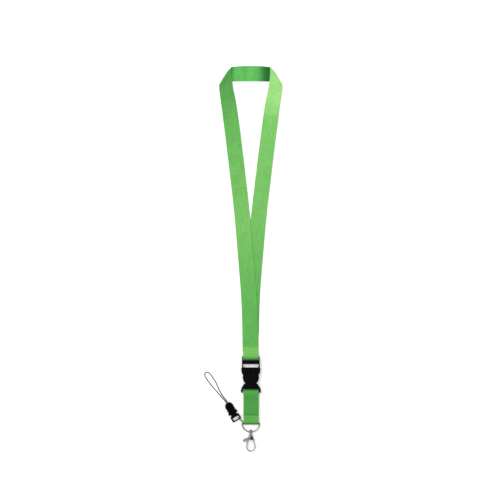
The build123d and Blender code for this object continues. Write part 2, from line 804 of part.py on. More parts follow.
with BuildPart() as phone_cord_knot:
    with BuildSketch(mini_plane(mini_mid - 1.15)):
        with Locations((0, (knot_end + 20.7) / 2)):
            RectangleRounded(3.4, knot_end - 20.7, 0.7)
    extrude(amount=2.3)

phone_cord_knot.part.label = "phone_cord_knot"
export_step(phone_cord_knot.part, "parts/phone_cord_knot.step")
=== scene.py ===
import json
from math import cos, pi, radians, sin

import bpy
import numpy as np
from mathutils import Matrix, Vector


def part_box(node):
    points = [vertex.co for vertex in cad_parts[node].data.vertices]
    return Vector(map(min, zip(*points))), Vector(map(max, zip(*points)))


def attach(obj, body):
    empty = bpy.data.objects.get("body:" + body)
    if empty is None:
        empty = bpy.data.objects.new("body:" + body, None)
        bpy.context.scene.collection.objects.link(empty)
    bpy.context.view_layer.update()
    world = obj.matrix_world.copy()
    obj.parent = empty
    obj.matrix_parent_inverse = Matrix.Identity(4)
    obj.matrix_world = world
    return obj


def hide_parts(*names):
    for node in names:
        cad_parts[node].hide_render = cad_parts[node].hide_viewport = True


# The looks of a neck lanyard that lies flat: ribbon, buckles, D-ring, hook and phone cord.
# Everything is in metres in the frame's axes: +Z up, +Y towards the neck, z = 0 the surface.

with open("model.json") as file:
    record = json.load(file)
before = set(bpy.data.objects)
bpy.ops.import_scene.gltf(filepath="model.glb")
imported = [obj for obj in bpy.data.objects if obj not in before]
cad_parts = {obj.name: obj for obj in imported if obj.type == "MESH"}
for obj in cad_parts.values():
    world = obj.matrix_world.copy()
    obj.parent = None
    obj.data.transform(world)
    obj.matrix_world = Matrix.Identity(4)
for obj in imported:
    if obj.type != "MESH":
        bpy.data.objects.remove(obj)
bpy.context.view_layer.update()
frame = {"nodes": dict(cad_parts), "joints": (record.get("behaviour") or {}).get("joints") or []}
mm = 0.001


def joint_place(name):
    """Where a joint's pivot is at rest."""
    return Vector(next(j["pos_m"] for j in frame["joints"] if j["name"] == name))


def smooth_step(value):
    """0 below 0, 1 above 1, and a smooth rise between."""
    t = np.clip(value, 0, 1)
    return t * t * (3 - 2 * t)


# ================= camera =================
view_width = 648.5 * mm
view_centre = (-1.1 * mm, 11.35 * mm)
camera_height = 2.4


def add_camera():
    """A long lens straight above the lanyard."""
    data = bpy.data.cameras.new("camera")
    data.sensor_width = 36
    data.lens = data.sensor_width * camera_height / view_width
    data.clip_end = 10
    camera = bpy.data.objects.new("camera", data)
    camera.location = (*view_centre, camera_height)
    bpy.context.scene.collection.objects.link(camera)
    bpy.context.scene.camera = camera


add_camera()


# ================= the cords' routes =================
mini_turn = radians(30)
mini_x, mini_y = -17.6, -209.3  # mm, the middle of the small buckle's frame end
cord_middle_z = 0.6  # mm, the phone cord's middle where it lies on the surface


def mini_point(x, y, z):
    """A point of the small buckle's own frame (mm, y along its axis), in the lanyard's frame."""
    across = mini_x + cos(mini_turn) * x - sin(mini_turn) * y
    along = mini_y + sin(mini_turn) * x + cos(mini_turn) * y
    return (across * mm, along * mm, z * mm)


def on_surface(x, y, z=cord_middle_z):
    """A point given in mm, in metres."""
    return (x * mm, y * mm, z * mm)


phone_cord_d = 1.2 * mm
phone_route = [
    mini_point(-0.66, 23.0, 2.1),
    mini_point(-0.66, 27.4, 2.05),
    on_surface(-35.4, -182.0, 1.3),
    on_surface(-40.9, -176.2),
    on_surface(-46.6, -169.3),
    on_surface(-52.0, -163.2),
    on_surface(-56.4, -157.2),
    on_surface(-59.1, -152.9),
    on_surface(-60.1, -149.9),
    on_surface(-58.9, -147.4),
    on_surface(-56.2, -146.9),
    on_surface(-53.4, -148.6),
    on_surface(-50.2, -152.7),
    on_surface(-46.9, -157.4),
    on_surface(-44.1, -163.0),
    on_surface(-41.7, -169.1),
    on_surface(-38.3, -175.2, 0.9),
    on_surface(-34.4, -180.4, 1.5),
    mini_point(0.66, 27.9, 2.05),
    mini_point(0.66, 23.0, 2.1),
]

ring_bar = joint_place("ring_swing")
tether_d = 0.8 * mm
tether_x = -10.1
wrap = 1.45  # mm, from the bar's middle to the route's points round it, in y and in z
wrap_x = tether_x + 0.06  # nearer to the strap than the CAD's, as the ring's corner swings past
bar_y_mm = ring_bar.y / mm
bar_z_mm = ring_bar.z / mm
knot_place = (tether_x - 0.95, bar_y_mm + 2.2, bar_z_mm + wrap + 0.2)
tether_route = [
    on_surface(*knot_place),
    on_surface(wrap_x, bar_y_mm + 0.8, bar_z_mm + wrap),
    on_surface(wrap_x, bar_y_mm - wrap, bar_z_mm + wrap),
    on_surface(wrap_x, bar_y_mm - wrap, bar_z_mm - wrap),
    on_surface(tether_x, bar_y_mm + 1.3, bar_z_mm - wrap),
    mini_point(3.1, -1.6, 0.5),
    mini_point(2.7, 2.6, 0.5),
    mini_point(2.7, 2.6, 4.0),
    mini_point(4.7, 0.6, 4.0),
    on_surface(*knot_place),
]


# ================= node helpers =================
def node(tree, kind, inputs=None, **settings):
    """A shader node with its settings, and its inputs given as values or as other nodes' outputs."""
    made = tree.nodes.new(kind)
    for name, value in settings.items():
        setattr(made, name, value)
    for name, value in (inputs or {}).items():
        if isinstance(value, bpy.types.NodeSocket):
            tree.links.new(value, made.inputs[name])
        else:
            made.inputs[name].default_value = value
    return made


def maths(tree, operation, first, second=0.0):
    """The result of a maths node."""
    return node(tree, "ShaderNodeMath", {0: first, 1: second}, operation=operation).outputs[0]


def product(tree, first, *others):
    """Several values multiplied together."""
    result = first
    for value in others:
        result = maths(tree, "MULTIPLY", result, value)
    return result


def ramp(tree, factor, stops):
    """A colour ramp: stops are (position, colour)."""
    made = node(tree, "ShaderNodeValToRGB", {"Fac": factor})
    elements = made.color_ramp.elements
    while len(elements) < len(stops):
        elements.new(0.5)
    for element, (position, colour) in zip(elements, stops):
        element.position = position
        element.color = (*colour, 1)
    return made.outputs["Color"]


def blend_colours(tree, factor, first, second):
    """Two colours mixed by a factor."""
    inputs = {0: factor, 6: first, 7: second}
    return node(tree, "ShaderNodeMix", inputs, data_type="RGBA", blend_type="MIX").outputs[2]


def noise(tree, vector, scale, detail, rough=0.55):
    """A noise value, about 0.5 on average."""
    inputs = {"Vector": vector, "Scale": scale, "Detail": detail, "Roughness": rough}
    return node(tree, "ShaderNodeTexNoise", inputs).outputs[0]


def stretch(tree, vector, scales):
    """A place scaled differently in x, y and z."""
    return node(tree, "ShaderNodeVectorMath", {0: vector, 1: scales}, operation="MULTIPLY").outputs[0]


def spread(tree, value, low, high, to_low, to_high):
    """A value's range from low to high, mapped to another range."""
    inputs = {"Value": value, "From Min": low, "From Max": high, "To Min": to_low, "To Max": to_high}
    return node(tree, "ShaderNodeMapRange", inputs).outputs[0]


def grey(value):
    """A grey colour."""
    return (value, value, value)


def from_display(red, green_with_painted_shading, blue):
    """A display colour (0 to 255) as the linear colour that shaders use."""
    parts = [c / 255 for c in (red, green_with_painted_shading, blue)]
    return tuple(c / 12.92 if c <= 0.04045 else ((c + 0.055) / 1.055) ** 2.4 for c in parts)


def start_material(name, **constants):
    """A new material, its tree and its shader, with the shader's constants set on its own sockets."""
    material = bpy.data.materials.new(name)
    material.use_nodes = True
    shader = material.node_tree.nodes["Principled BSDF"]
    for socket, value in constants.items():
        shader.inputs[socket.replace("_", " ")].default_value = value
    return material, material.node_tree, shader


def set_bump(tree, shader, height, distance, strength):
    """Bump from a height value; distance is its full height in metres."""
    bump = node(tree, "ShaderNodeBump", {"Strength": strength, "Distance": distance, "Height": height})
    tree.links.new(bump.outputs["Normal"], shader.inputs["Normal"])


# ================= materials =================
thread_pitch = 0.45 * mm


def woven_height(tree, along, across):
    """A plain weave: threads one way go over and under the threads that cross them."""
    turn = pi / thread_pitch
    warp = maths(tree, "SINE", maths(tree, "MULTIPLY", across, turn))
    weft = maths(tree, "SINE", maths(tree, "MULTIPLY", along, turn))
    over = spread(tree, maths(tree, "MULTIPLY", warp, weft), -0.3, 0.3, 0.0, 1.0)
    warp_height = maths(tree, "ABSOLUTE", warp)
    weft_height = maths(tree, "ABSOLUTE", weft)
    mixed = node(tree, "ShaderNodeMix", {0: over, 2: warp_height, 3: weft_height}, data_type="FLOAT")
    return mixed.outputs[0], over


def ribbon_material(name, length, tones):
    """Woven polyester ribbon.

    tones are (metres on the ribbon's scale of tones, colour), and length is that scale's end. The colours
    carry light and shade painted along the ribbon.
    """
    material, tree, shader = start_material(
        name, Sheen_Weight=0.12, Sheen_Roughness=0.5, IOR=1.45, Specular_IOR_Level=0.3
    )
    place = node(tree, "ShaderNodeUVMap", uv_map="ribbon").outputs["UV"]
    parts = node(tree, "ShaderNodeSeparateXYZ", {"Vector": place})
    along, across = parts.outputs["X"], parts.outputs["Y"]
    stops = [(metres / length, colour) for metres, colour in tones]
    tone_place = node(tree, "ShaderNodeUVMap", uv_map="tone").outputs["UV"]
    tone_along = node(tree, "ShaderNodeSeparateXYZ", {"Vector": tone_place}).outputs["X"]
    base = ramp(tree, maths(tree, "DIVIDE", tone_along, length), stops)
    height, over = woven_height(tree, along, across)
    solid = node(tree, "ShaderNodeTexCoord").outputs["Object"]
    drawn = stretch(tree, place, (60, 1400, 0))
    tone = product(
        tree,
        spread(tree, noise(tree, solid, 70, 2), 0.3, 0.7, 0.95, 1.05),
        spread(tree, noise(tree, solid, 520, 2), 0.3, 0.7, 0.92, 1.08),
        spread(tree, noise(tree, drawn, 1.0, 2), 0.3, 0.7, 0.92, 1.08),
        spread(tree, noise(tree, solid, 2600, 2), 0.3, 0.7, 0.90, 1.10),
        # painted shade and light in the weave: darker in the hollows between threads, lighter on their crowns
        spread(tree, height, 0.0, 1.0, 0.78, 1.07),
        spread(tree, over, 0.0, 1.0, 0.96, 1.04),
    )
    shaded = node(tree, "ShaderNodeVectorMath", {0: base, "Scale": tone}, operation="SCALE").outputs[0]
    tree.links.new(shaded, shader.inputs["Base Color"])
    rough = spread(tree, noise(tree, solid, 700, 2), 0.3, 0.7, 0.62, 0.82)
    tree.links.new(rough, shader.inputs["Roughness"])
    set_bump(tree, shader, height, 0.08 * mm, 0.6)
    return material


def thread_material(name, colour, sheen):
    """Spun thread: fine fibres in slightly different tones."""
    material, tree, shader = start_material(name, Sheen_Weight=sheen, Sheen_Roughness=0.4, IOR=1.45)
    solid = node(tree, "ShaderNodeTexCoord").outputs["Object"]
    fibres = noise(tree, solid, 5200, 3)
    soft = noise(tree, solid, 260, 2)
    darker = tuple(c * 0.62 for c in colour)
    lighter = tuple(c * 1.35 for c in colour)
    both = maths(tree, "MULTIPLY", maths(tree, "ADD", fibres, soft), 0.5)
    base = ramp(tree, both, [(0.36, darker), (0.64, lighter)])
    tree.links.new(base, shader.inputs["Base Color"])
    tree.links.new(spread(tree, fibres, 0.3, 0.7, 0.55, 0.85), shader.inputs["Roughness"])
    set_bump(tree, shader, fibres, 0.05 * mm, 0.8)
    return material


def plastic_material(name, gloss):
    """Moulded black plastic: a fine spark-eroded grain, faint flow marks and a few rubbed spots."""
    material, tree, shader = start_material(name, IOR=1.49, Specular_IOR_Level=0.06)
    solid = node(tree, "ShaderNodeTexCoord").outputs["Object"]
    grain = noise(tree, solid, 3400, 2)
    flow = noise(tree, stretch(tree, solid, (1.0, 0.25, 1.0)), 240, 4)
    rubbed = spread(tree, noise(tree, solid, 620, 5, 0.7), 0.62, 0.78, 0.0, 1.0)
    dark = ramp(tree, flow, [(0.35, from_display(5, 5, 6)), (0.65, from_display(9, 9, 10))])
    base = blend_colours(tree, rubbed, dark, (*from_display(20, 20, 20), 1))
    tree.links.new(base, shader.inputs["Base Color"])
    fine_rough = spread(tree, grain, 0.3, 0.7, -0.05, 0.06)
    slow_rough = spread(tree, flow, 0.3, 0.7, gloss, gloss + 0.1)
    tree.links.new(maths(tree, "ADD", fine_rough, slow_rough), shader.inputs["Roughness"])
    set_bump(tree, shader, grain, 0.02 * mm, 0.5)
    return material


def metal_material(name, tone, low_rough, high_rough, pocket_top=None):
    """Bright plated metal: fine polishing lines, with a little tarnish in patches.

    Floors that face up below pocket_top are the pockets' floors, painted near-black as painted shade.
    """
    material, tree, shader = start_material(name, Metallic=1.0)
    places = node(tree, "ShaderNodeTexCoord")
    solid = places.outputs["Object"]
    lines = noise(tree, stretch(tree, solid, (1.0, 0.12, 1.0)), 5200, 3)
    patches = noise(tree, solid, 420, 4)
    tarnished = tuple(c * 0.72 for c in tone)
    base = ramp(tree, patches, [(0.30, tarnished), (0.62, tone)])
    if pocket_top:
        height = node(tree, "ShaderNodeSeparateXYZ", {"Vector": solid}).outputs["Z"]
        facing = node(tree, "ShaderNodeSeparateXYZ", {"Vector": places.outputs["Normal"]}).outputs["Z"]
        low = maths(tree, "LESS_THAN", height, pocket_top)
        pocket_painted_shade = maths(tree, "MULTIPLY", low, maths(tree, "GREATER_THAN", facing, 0.3))
        # painted shade: the pockets' floors get a near-black colour where shade falls in the hook's pockets
        base = blend_colours(tree, pocket_painted_shade, base, (*grey(0.035), 1))
    tree.links.new(base, shader.inputs["Base Color"])
    rough = spread(tree, maths(tree, "MULTIPLY", lines, patches), 0.12, 0.38, low_rough, high_rough)
    tree.links.new(rough, shader.inputs["Roughness"])
    set_bump(tree, shader, lines, 0.006 * mm, 0.35)
    return material


# ================= mesh helpers =================
def finish_piece(obj, body, material, replaced):
    """Gives a piece its material, body and slot, and hides the CAD nodes that it stands for."""
    obj.data.materials.append(material)
    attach(obj, body)
    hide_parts(*replaced)


def mesh_object(name, points, faces, smooth=True):
    """A mesh object from points and faces, linked to the scene."""
    mesh = bpy.data.meshes.new(name)
    mesh.from_pydata([tuple(p) for p in points], [], faces)
    mesh.validate()
    if smooth:
        mesh.shade_smooth()
    mesh.update()
    obj = bpy.data.objects.new(name, mesh)
    bpy.context.scene.collection.objects.link(obj)
    return obj


def unit(vectors):
    """Vectors scaled to length 1, along the last axis."""
    return vectors / np.maximum(np.linalg.norm(vectors, axis=-1, keepdims=True), 1e-12)


def along_line(points):
    """The distance of each point from the line's start, along it."""
    steps = np.linalg.norm(np.diff(points, axis=0), axis=1)
    return np.concatenate([[0.0], np.cumsum(steps)])


def resample(points, distances):
    """Points at the given distances along a line."""
    travelled = along_line(points)
    return np.stack([np.interp(distances, travelled, points[:, k]) for k in range(points.shape[1])], axis=1)


edge_round = 0.45 * mm
selvedge_rise = 0.035 * mm  # the woven edge is a little thicker
selvedge_in = 1.1 * mm  # from the edge to the thickest place
selvedge_reach = 0.45 * mm


def thick_cloth(name, grid, across, thickness, tone=None):
    """A closed ribbon round a grid of points on its middle surface, with rounded, slightly raised edges.

    tone gives each grid point its place on the material's scale of tones; without it that is the
    distance along the ribbon.
    """
    rows, columns = grid.shape[:2]
    run = np.gradient(grid, axis=0)
    over = np.gradient(grid, axis=1)
    normal = unit(np.cross(run, over))
    inward = abs(across).max() - abs(across)
    rounding = np.clip(1 - inward / edge_round, 0, 1)
    half = thickness / 2 * np.sqrt(1 - 0.9 * rounding**2)
    half = half + selvedge_rise * np.exp(-(((inward - selvedge_in) / selvedge_reach) ** 2))
    offset = normal * half[None, :, None]
    points = np.concatenate([(grid + offset).reshape(-1, 3), (grid - offset).reshape(-1, 3)])
    below = rows * columns

    def index(row, column):
        """A grid point's number on the upper face."""
        return row * columns + column

    faces = []
    for row in range(rows - 1):
        for column in range(columns - 1):
            a, b = index(row, column), index(row + 1, column)
            c, d = b + 1, a + 1
            faces.append((a, b, c, d))
            faces.append((below + d, below + c, below + b, below + a))
        left, right = index(row, 0), index(row, columns - 1)
        faces.append((left, below + left, below + left + columns, left + columns))
        faces.append((right, right + columns, below + right + columns, below + right))
    for column in range(columns - 1):
        first, last = index(0, column), index(rows - 1, column)
        faces.append((first, first + 1, below + first + 1, below + first))
        faces.append((last, below + last, below + last + 1, last + 1))
    obj = mesh_object(name, points, faces)
    travelled = along_line(grid[:, columns // 2])
    uv = np.zeros((2, rows, columns, 2))
    uv[..., 0] = travelled[None, :, None]
    uv[..., 1] = across[None, None, :] + abs(across).max()
    tone_uv = uv.copy()
    if tone is not None:
        tone_uv[..., 0] = tone[None]
    corners = np.zeros(len(obj.data.loops), int)
    obj.data.loops.foreach_get("vertex_index", corners)
    for layer_name, values in (("ribbon", uv), ("tone", tone_uv)):
        layer = obj.data.uv_layers.new(name=layer_name)
        layer.data.foreach_set("uv", values.reshape(-1, 2)[corners].ravel().astype(np.float32))
    return obj, travelled[-1]


def across_steps(half_width, middle_step):
    """Places across a ribbon: close together at its edges, wider in its middle."""
    edge = np.array([0, 0.06, 0.16, 0.3, 0.5, 0.8, 1.1, 1.4, 1.8]) * mm
    inner = half_width - edge[-1]
    middle = np.linspace(-inner, inner, int(2 * inner / middle_step) + 2)[1:-1]
    return np.concatenate([-half_width + edge, middle, half_width - edge[::-1]])


def arc_points(centre, radius, start, end):
    """Points on an arc in a side view, angles in degrees."""
    count = 24
    angles = np.radians(np.linspace(start, end, count))
    return [(centre[0] + radius * cos(a), centre[1] + radius * sin(a)) for a in angles]


def soften(points, window):
    """A line evened out by a moving average over window metres."""
    step = 0.1 * mm
    length = along_line(points)[-1]
    count = int(length / step)
    even = resample(points, np.linspace(0, length, count))
    reach = int(window / step) // 2
    padded = np.concatenate([np.repeat(even[:1], reach, 0), even, np.repeat(even[-1:], reach, 0)])
    kernel = np.hanning(2 * reach + 3)[1:-1]
    kernel = kernel / kernel.sum()
    evened = [np.convolve(padded[:, k], kernel, "valid") for k in range(points.shape[1])]
    return np.stack(evened, axis=1)


# ================= neck ribbon =================
ribbon_half_width = 10 * mm
ribbon_thick = 0.8 * mm
layer_low = ribbon_thick / 2 + 0.01 * mm  # middle of a layer on the surface
layer_gap = ribbon_thick + 0.03 * mm  # from one layer's middle to the next one's
neck_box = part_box("neck_ribbon")
strip_middle_y = neck_box[1].y - ribbon_half_width
fold_radius = 0.95 * mm
bar = joint_place("buckle_swing")
bar_loop_r = 1.78 * mm
left_route = [(-35.0, 252), (-22.4, 154), (-11.5, 62), (-1.5, -60), (-0.5, -122)]
right_route = [(34.9, 252), (22.0, 154), (10.6, 60), (1.5, -45), (0.3, -100), (0, -122)]
left_end_y = -120.4 * mm
right_end_y = -122 * mm  # where the leg's line gives way to its tail
crossing_top = 120 * mm  # the legs cross somewhere below this
crossing_slope = 3.0 * mm  # in x, in which the left leg climbs onto the right one
crossing_gap = 0.15 * mm  # beside the right leg's edge
crossing_lead = 3.4 * mm  # before that gap, where the climb starts
flap_top_y = -113.8 * mm
flap_middle_z = layer_low + 2 * layer_gap
neck_flap_z = flap_middle_z + ribbon_thick / 2  # the flap's face
column_step = 0.95 * mm  # between points across a ribbon
leg_step = 0.25 * mm
leg_smoothing = 200  # steps to each side that a leg's bends are evened out over
leg_spare = 60 * mm  # a leg's line is worked out this far past its end, and cut back
fine_step, coarse_step = 0.3 * mm, 0.75 * mm  # along a ribbon: near folds and loops, and elsewhere


def leg_line(route, mirror, low_y):
    """A leg's middle line in plan, top first, as a smooth x for each y. mirror -1 draws it on the left."""
    ys = np.arange(route[0][1] * mm, low_y - leg_spare, -leg_step)
    xs = np.interp(-ys, [-y * mm for x, y in route], [mirror * x * mm for x, y in route])
    top_slope = (route[1][0] - route[0][0]) / (route[1][1] - route[0][1]) * mirror
    above = ys[0] + np.arange(leg_smoothing, 0, -1) * leg_step
    before = xs[0] + (above - ys[0]) * top_slope
    padded = np.concatenate([before, xs, np.repeat(xs[-1:], leg_smoothing)])
    kernel = np.hanning(2 * leg_smoothing + 3)[1:-1]
    xs = np.convolve(padded, kernel / kernel.sum(), "valid")[: len(ys)]
    keep = ys >= low_y
    return np.stack([xs[keep], ys[keep]], axis=1)


def fold_side_view():
    """Side view of the soft fold: distance along the ribbon, place and height, both from the fold's line."""
    flat = np.arange(-60, -fold_radius / mm, 0.1) * mm
    turn = np.radians(np.linspace(-90, 90, 40))
    back = -np.arange(fold_radius / mm, 60, 0.1) * mm
    open_gap = 2 * fold_radius - layer_gap
    settle = smooth_step((-fold_radius - back) / (7 * mm))
    place = np.concatenate([flat, -fold_radius + fold_radius * np.cos(turn), back])
    rise = layer_low + fold_radius * (1 + np.sin(turn))
    upper = layer_low + layer_gap + open_gap * (1 - settle)
    height = np.concatenate([0 * flat + layer_low, rise, upper])
    travelled = along_line(np.stack([place, height], axis=1))
    travelled = travelled - travelled[len(flat)] - fold_radius
    return travelled, place, height


fold_travel, fold_place, fold_height = fold_side_view()
fold_lead = 30 * mm  # past this distance from the fold the ribbon is a plain leg
top_steps = 8  # of a leg's line, over which its direction at the fold is taken
drop_length = 26 * mm  # in y, below the neck piece, in which a leg comes down from it
crease_jump = 20 * mm  # the scale of tones is longer by this at each fold, to tell neck and legs apart


waves_from_y = -118 * mm  # there are no waves below this, where the buckle's bar holds the ribbon
waves_grow = 30 * mm
wave_height = 0.09 * mm


def wave(x, y):
    """Slow, slight lifts of the ribbon off the surface."""
    first = np.sin(x * 95 + y * 61 + 0.7)
    second = np.sin(y * 108 - x * 40 + 2.1)
    third = np.sin(y * 37 + 4.0)
    return wave_height * (3 + first + second + third)


def half_ribbon(line, mirror, tail):
    """Half of the neck ribbon, from its middle round the fold and down a leg.

    line is the leg's middle line. Both halves are worked out on the left, and mirror -1 puts the points
    on the right. tail is a list of (y, z) points that the leg's end follows, or None.
    Returns a function from (along, across) arrays to points and tones, the half's whole length, and
    the length of its share of the neck piece.
    """
    top = unit(line[top_steps] - line[0])
    angle = -np.arctan2(top[1], -top[0]) / 2  # of the fold's line, which mirrors -x into the leg's way down
    run = np.array([cos(angle), sin(angle)])
    out = np.array([-sin(angle), cos(angle)])
    shift = fold_radius * (pi - 2)  # a round fold takes up this much more ribbon than a sharp one
    start_y = strip_middle_y + shift * out[1]
    start = line[0] + top * (start_y - line[0][1]) / top[1]
    fold_point = start - shift * out
    below = line[line[:, 1] < start[1]]
    middle = np.concatenate([[start], below])
    heights = np.full(len(middle), layer_low)
    middle = np.column_stack([middle, heights])
    if tail is not None:
        middle = np.concatenate([middle[middle[:, 1] > tail[0][0]], [(0.0, y, z) for y, z in tail]])
    neck_length = abs(fold_point[0])
    length = neck_length + along_line(middle)[-1]

    def place(along, across):
        """Points (rows, columns, 3) for distances along the ribbon and places across it, and their tones."""
        grid = np.zeros((len(along), len(across), 3))
        tone = along[:, None] + crease_jump + 0 * across[None, :]
        folded = along < neck_length + fold_lead
        # round the fold: the flat strip, bent back about the fold's line
        flat_x = -along[folded][:, None] + 0 * across[None, :]
        flat_y = strip_middle_y + across[None, :] + 0 * flat_x
        rel_x, rel_y = flat_x - fold_point[0], flat_y - fold_point[1]
        sideways = rel_x * run[0] + rel_y * run[1]
        outwards = rel_x * out[0] + rel_y * out[1]
        n = np.interp(outwards, fold_travel, fold_place)
        z = np.interp(outwards, fold_travel, fold_height)
        grid[folded, :, 0] = fold_point[0] + run[0] * sideways + out[0] * n
        grid[folded, :, 1] = fold_point[1] + run[1] * sideways + out[1] * n
        tone[folded] -= crease_jump * (1 - smooth_step(outwards / (1.2 * mm) + 0.5))
        upper = outwards > -fold_radius
        drop = smooth_step((strip_middle_y - ribbon_half_width - grid[folded, :, 1]) / drop_length)
        grid[folded, :, 2] = z - np.where(upper, drop * layer_gap, 0)
        # the plain leg
        beyond = along[~folded] - neck_length
        centre = resample(middle, beyond)
        ahead = resample(middle, beyond + 0.05 * mm) - resample(middle, beyond - 0.05 * mm)
        plan = ahead[:, :2]
        steep = np.abs(ahead[:, 2]) > 0.02 * np.linalg.norm(plan, axis=1)
        side = unit(np.stack([-plan[:, 1], plan[:, 0]], axis=1))
        turned = steep | (centre[:, 1] < flap_top_y)
        side[turned] = (1.0, 0.0)
        grid[~folded, :, :2] = centre[:, None, :2] + across[None, :, None] * side[:, None, :]
        drop = smooth_step((strip_middle_y - ribbon_half_width - grid[~folded, :, 1]) / drop_length)
        grid[~folded, :, 2] = centre[:, None, 2] + (1 - drop) * layer_gap
        grid[:, :, 0] *= mirror
        return grid, tone

    return place, length, neck_length


def right_tail():
    """The right leg's end in side view: off the surface, round the buckle's bar and back as the flap."""
    low = [(-98 * mm, layer_low), (-118.5 * mm, layer_low)]
    under = [(bar.y + 4.2 * mm, bar.z - bar_loop_r - 0.55 * mm)]
    loop = arc_points((bar.y, bar.z), bar_loop_r, -80, -280)
    back = [
        (bar.y + 3.4 * mm, bar.z + bar_loop_r - 0.75 * mm),
        (-121.6 * mm, flap_middle_z + 0.25 * mm),
        (-118.6 * mm, flap_middle_z),
        (flap_top_y, flap_middle_z),
    ]
    return soften(np.array(low + under + loop + back), 1.6 * mm)


def stations(length, places):
    """Distances along a ribbon: fine steps within the given stretches, coarse ones elsewhere."""
    steps = [0.0]
    while steps[-1] < length:
        close = any(low <= steps[-1] <= high for low, high in places)
        steps.append(steps[-1] + (fine_step if close else coarse_step))
    return np.array(steps[:-1] + [length])


def settle_folds(grid):
    """Soft folds are not sharp: their outer corners sag down the legs, and the creases draw in a little.

    Each pull is a place (|x|, y), how far it reaches in x and y, and how far it draws inwards and down.
    """
    top_y = neck_box[1].y
    low_y = top_y - 2 * ribbon_half_width
    pulls = [
        ((41.7 * mm, low_y), (10 * mm, 10 * mm), (0.2 * mm, 3.2 * mm)),
        ((42.0 * mm, low_y - 3.0 * mm), (5 * mm, 5 * mm), (0.9 * mm, 0.2 * mm)),
        ((33.0 * mm, top_y - 9.5 * mm), (14 * mm, 14 * mm), (0.6 * mm, 0.5 * mm)),
        ((24.0 * mm, top_y), (6 * mm, 6 * mm), (0.7 * mm, 0.8 * mm)),
        ((18.0 * mm, top_y), (9 * mm, 9 * mm), (0.0, 0.4 * mm)),
        ((21.5 * mm, low_y + 2 * mm), (9 * mm, 26 * mm), (-2.3 * mm, 0.0)),
    ]
    for (place_x, place_y), (reach_x, reach_y), (inwards, down) in pulls:
        off_x = (np.abs(grid[..., 0]) - place_x) / reach_x
        off_y = (grid[..., 1] - place_y) / reach_y
        near = np.exp(-(off_x**2) - off_y**2)
        grid[..., 0] -= np.sign(grid[..., 0]) * inwards * near
        grid[..., 1] -= down * near


def make_neck_ribbon():
    """The whole ribbon as one piece: left leg, fold, neck piece, fold, right leg, bar loop and flap."""
    left_line = leg_line(left_route, 1, left_end_y)
    right_line = leg_line(right_route, -1, right_end_y)
    across = across_steps(ribbon_half_width, column_step)
    left_place, left_length, left_neck = half_ribbon(left_line, 1, None)
    right_place, right_length, right_neck = half_ribbon(right_line, -1, right_tail())
    fold_zone, tail_zone = 20 * mm, 42 * mm
    left_zones = [(left_neck - fold_zone, left_neck + fold_zone)]
    left_along = stations(left_length, left_zones)
    right_zones = [(right_neck - fold_zone, right_neck + fold_zone), (right_length - tail_zone, right_length)]
    right_along = stations(right_length, right_zones)
    left, left_tone = left_place(left_along, across)
    right, right_tone = right_place(right_along, across)
    # the left leg lies over the right one where they cross
    right_middle = np.interp(-left[..., 1], -right_line[:, 1], -right_line[:, 0])
    right_edge = right_middle - ribbon_half_width - crossing_gap
    crossing = (left[..., 1] < crossing_top) & (left_along[:, None] > left_neck + fold_lead)
    over = smooth_step((left[..., 0] - right_edge + crossing_lead) / crossing_slope)
    left[..., 2] += np.where(crossing, over * layer_gap, 0)
    for half in (left, right):
        settle_folds(half)
        lift = wave(half[..., 0], half[..., 1])
        free = smooth_step((half[..., 1] - waves_from_y) / waves_grow)
        half[..., 2] += lift * free
    grid = np.concatenate([left[::-1], right[1:]])
    middle_tone = left_length + crease_jump
    tone = np.concatenate([middle_tone - left_tone[::-1], middle_tone + right_tone[1:]])
    ribbon, length = thick_cloth("neck_ribbon_cloth", grid, across, ribbon_thick, tone)
    facts = {"length": length, "middle": middle_tone, "left_neck": left_neck, "right_neck": right_neck}
    facts["tone_end"] = middle_tone + right_length + crease_jump
    return ribbon, facts


# The ribbon's colour at places along it, with light and shade painted in: darker where the neck piece runs
# under the legs and before and round the buckle's bar, lighter on the right fold and the flap.
green_with_painted_shading = {
    "leg_low": from_display(128, 204, 102),
    "leg_high": from_display(107, 189, 89),
    "left_fold": from_display(87, 166, 78),
    "neck_shade": from_display(52, 148, 60),
    "neck_left": from_display(99, 199, 95),
    "neck_middle": from_display(94, 190, 87),
    "neck_light": from_display(108, 208, 98),
    "neck_right": from_display(24, 114, 40),
    "right_fold": from_display(164, 232, 134),
    "right_high": from_display(131, 209, 108),
    "right_low": from_display(123, 201, 101),
    "join": from_display(90, 174, 81),
    "left_join": from_display(102, 188, 88),
    "flap": from_display(123, 201, 97),
    "bar": from_display(44, 142, 54),
}


